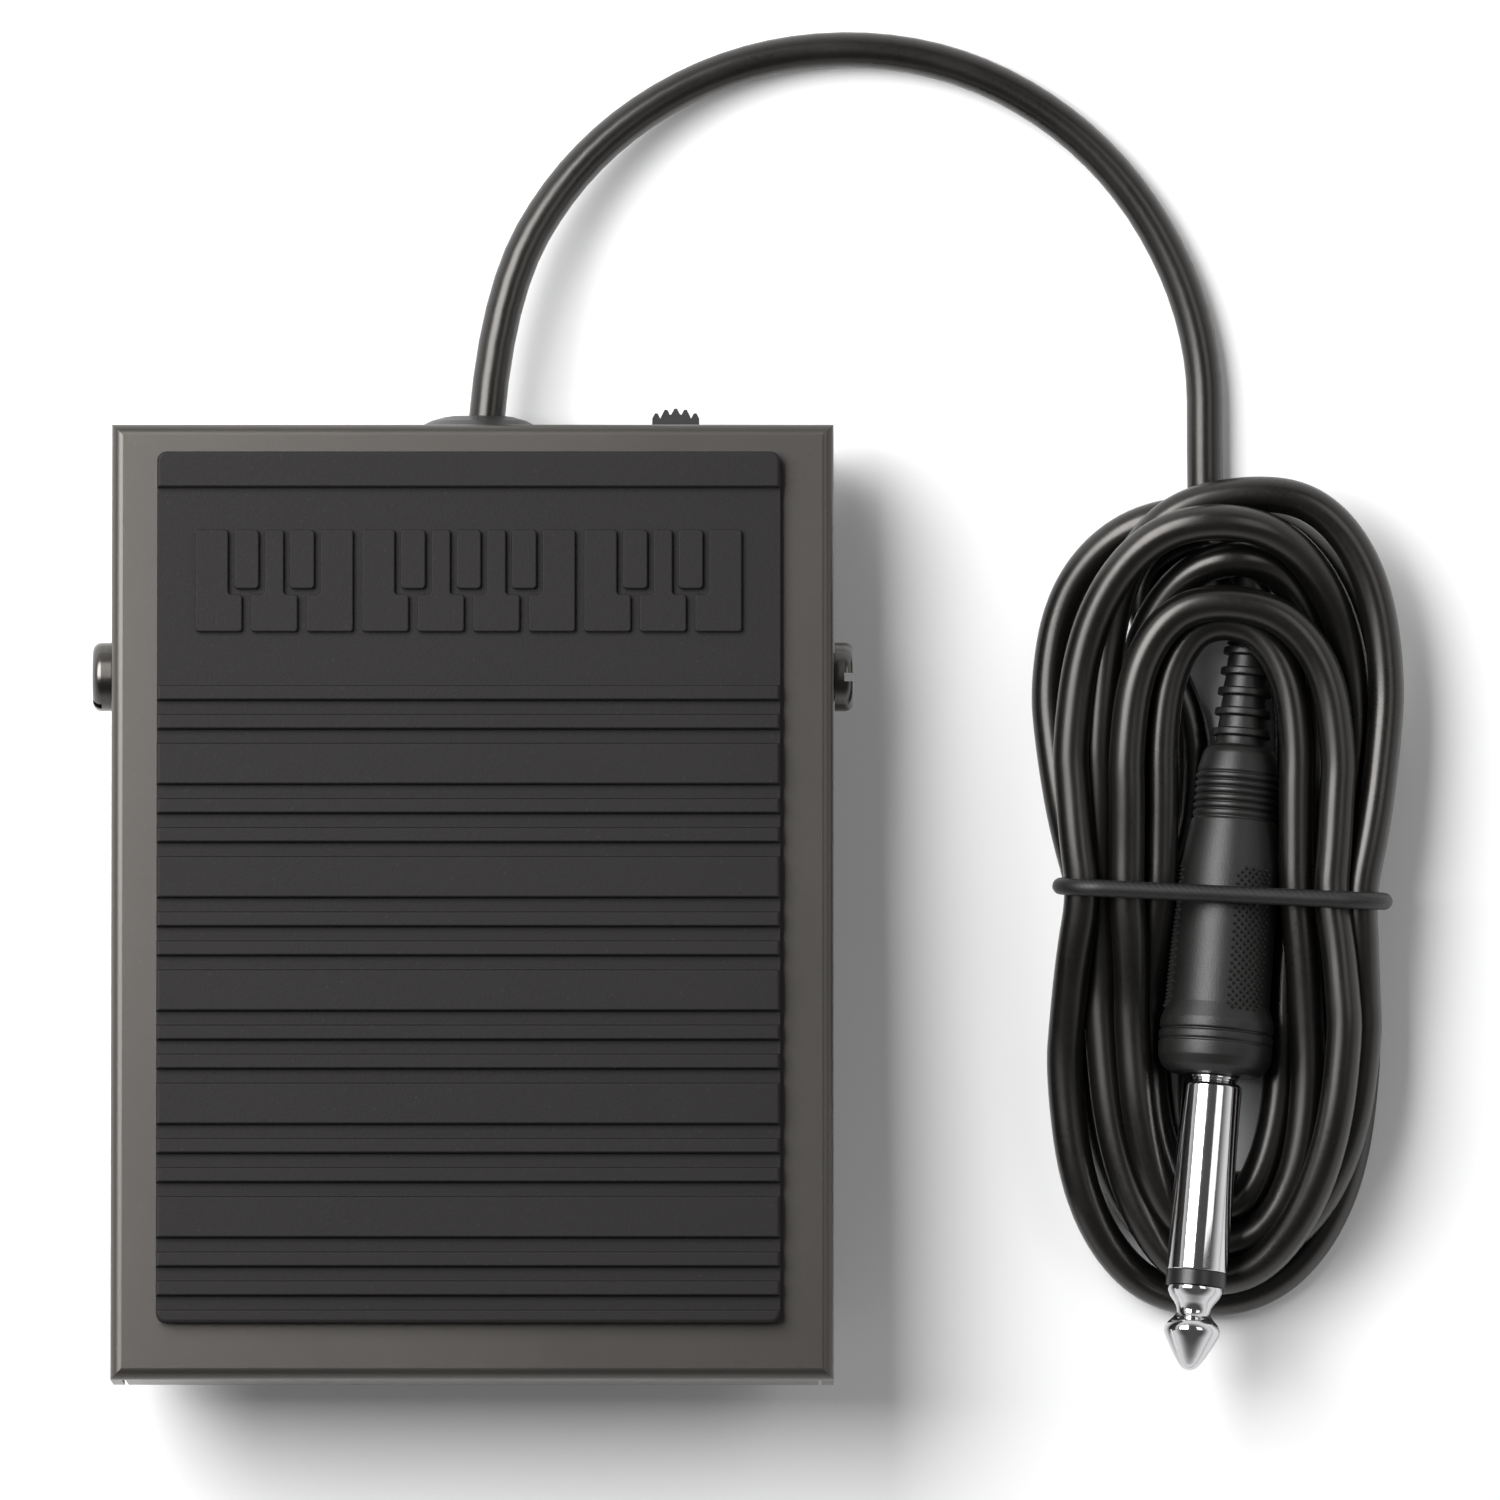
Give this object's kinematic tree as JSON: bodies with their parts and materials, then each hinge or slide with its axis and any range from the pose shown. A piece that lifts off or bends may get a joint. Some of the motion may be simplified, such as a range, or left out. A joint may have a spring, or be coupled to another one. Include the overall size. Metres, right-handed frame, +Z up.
{
  "type": "sustain pedal",
  "caption": "Foot pedal for a keyboard: a hinged steel plate with a grooved rubber tread on a low steel base, with a polarity switch and a tied cord that ends in a jack plug.",
  "frame": {"origin": "On the floor under the middle of the cover, in the plane of the rubber mat's underside.", "axes": "+Z up; +Y to the rear, where the cord leaves; +X across, along the hinge axis."},
  "size_m": [0.1379, 0.1417, 0.0282],
  "materials": {
    "case_paint": "satin warm dark-grey paint",
    "chassis_paint": "satin black paint",
    "mat_rubber": "matt ribbed rubber sheet",
    "black_nickel": "glossy black nickel plate",
    "nylon": "natural nylon",
    "zinc_steel": "bright zinc plate",
    "stop_rubber": "matt rubber",
    "spring_steel": "bright spring steel",
    "gland_pvc": "satin black plastic",
    "tinned_steel": "tinned sheet",
    "phenolic": "brown phenolic board",
    "tinned_brass": "tinned brass",
    "knob_plastic": "satin black plastic",
    "switch_plastic": "black moulded plastic",
    "button_plastic": "red moulded plastic",
    "tread_rubber": "fine-grained matt rubber",
    "wire_red": "PVC insulation",
    "wire_white": "PVC insulation",
    "wire_blue": "PVC insulation",
    "wire_black": "PVC insulation",
    "plug_nickel": "polished nickel plate",
    "plug_ring": "black insulator",
    "plug_grip": "satin black moulded grip",
    "tie_rubber": "black elastic ring",
    "cord_pvc": "satin black PVC jacket"
  },
  "bodies": {
    "base": {"base_chassis": "chassis_paint", "base_rubber_mat": "mat_rubber", "pivot_screw_left": "black_nickel", "pivot_screw_right": "black_nickel", "pivot_washer_left": "nylon", "pivot_washer_right": "nylon", "pivot_nut_left": "zinc_steel", "pivot_nut_right": "zinc_steel", "down_stop_left": "stop_rubber", "down_stop_right": "stop_rubber", "up_stop_strip": "stop_rubber", "spring_seat": "nylon", "return_spring": "spring_steel", "cable_gland": "gland_pvc", "cable_clamp": "nylon", "cable_clamp_screws": "zinc_steel", "slide_switch_can": "tinned_steel", "slide_switch_board": "phenolic", "slide_switch_tags": "tinned_brass", "slide_switch_screws": "zinc_steel", "lever_switch_body": "switch_plastic", "lever_switch_lid": "switch_plastic", "lever_switch_screws": "zinc_steel", "lever_switch_bracket": "zinc_steel", "lever_switch_rivets": "zinc_steel", "lever_switch_tags": "tinned_brass", "lever_hinge_lugs": "tinned_steel", "lever_hinge_pin": "spring_steel", "wire_red": "wire_red", "wire_white": "wire_white", "wire_blue": "wire_blue", "wire_black": "wire_black", "plug_sleeve": "plug_nickel", "plug_insulator": "plug_ring", "plug_tip": "plug_nickel", "plug_boot": "plug_grip", "cord_tie": "tie_rubber", "cord_lead": "cord_pvc", "cord_hank": "cord_pvc"},
    "cover": {"top_cover": "case_paint", "tread_pad": "tread_rubber", "spring_stud": "zinc_steel", "press_nub": "nylon"},
    "lever": {"switch_lever": "spring_steel"},
    "button": {"lever_switch_button": "button_plastic"},
    "slider": {"slide_knob": "knob_plastic", "slide_wiper": "tinned_brass"}
  },
  "joints": [
    {"name": "cover_hinge", "type": "hinge", "parent": "base", "child": "cover", "pos_m": [0, 0.0234, 0.015], "axis": [1, 0, 0], "range_deg": [0, 7], "stiffness_Nm_per_rad": 2, "springref_deg": -7.45, "deforming": ["return_spring"]},
    {"name": "lever_hinge", "type": "hinge", "parent": "base", "child": "lever", "pos_m": [0.013, 0.0165, 0.017], "axis": [1, 0, 0], "range_deg": [0, 9.7]},
    {"name": "button_slide", "type": "slide", "parent": "base", "child": "button", "axis": [0, 0, -1], "range_m": [0, 0.00092]},
    {"name": "polarity_slide", "type": "slide", "parent": "base", "child": "slider", "axis": [1, 0, 0], "range_m": [0, 0.003]}
  ],
  "couplings": [
    {"joint": "lever_hinge", "follows": "cover_hinge", "ratio": 1.38},
    {"joint": "button_slide", "follows": "cover_hinge", "m_per_rad": 0.007367}
  ]
}
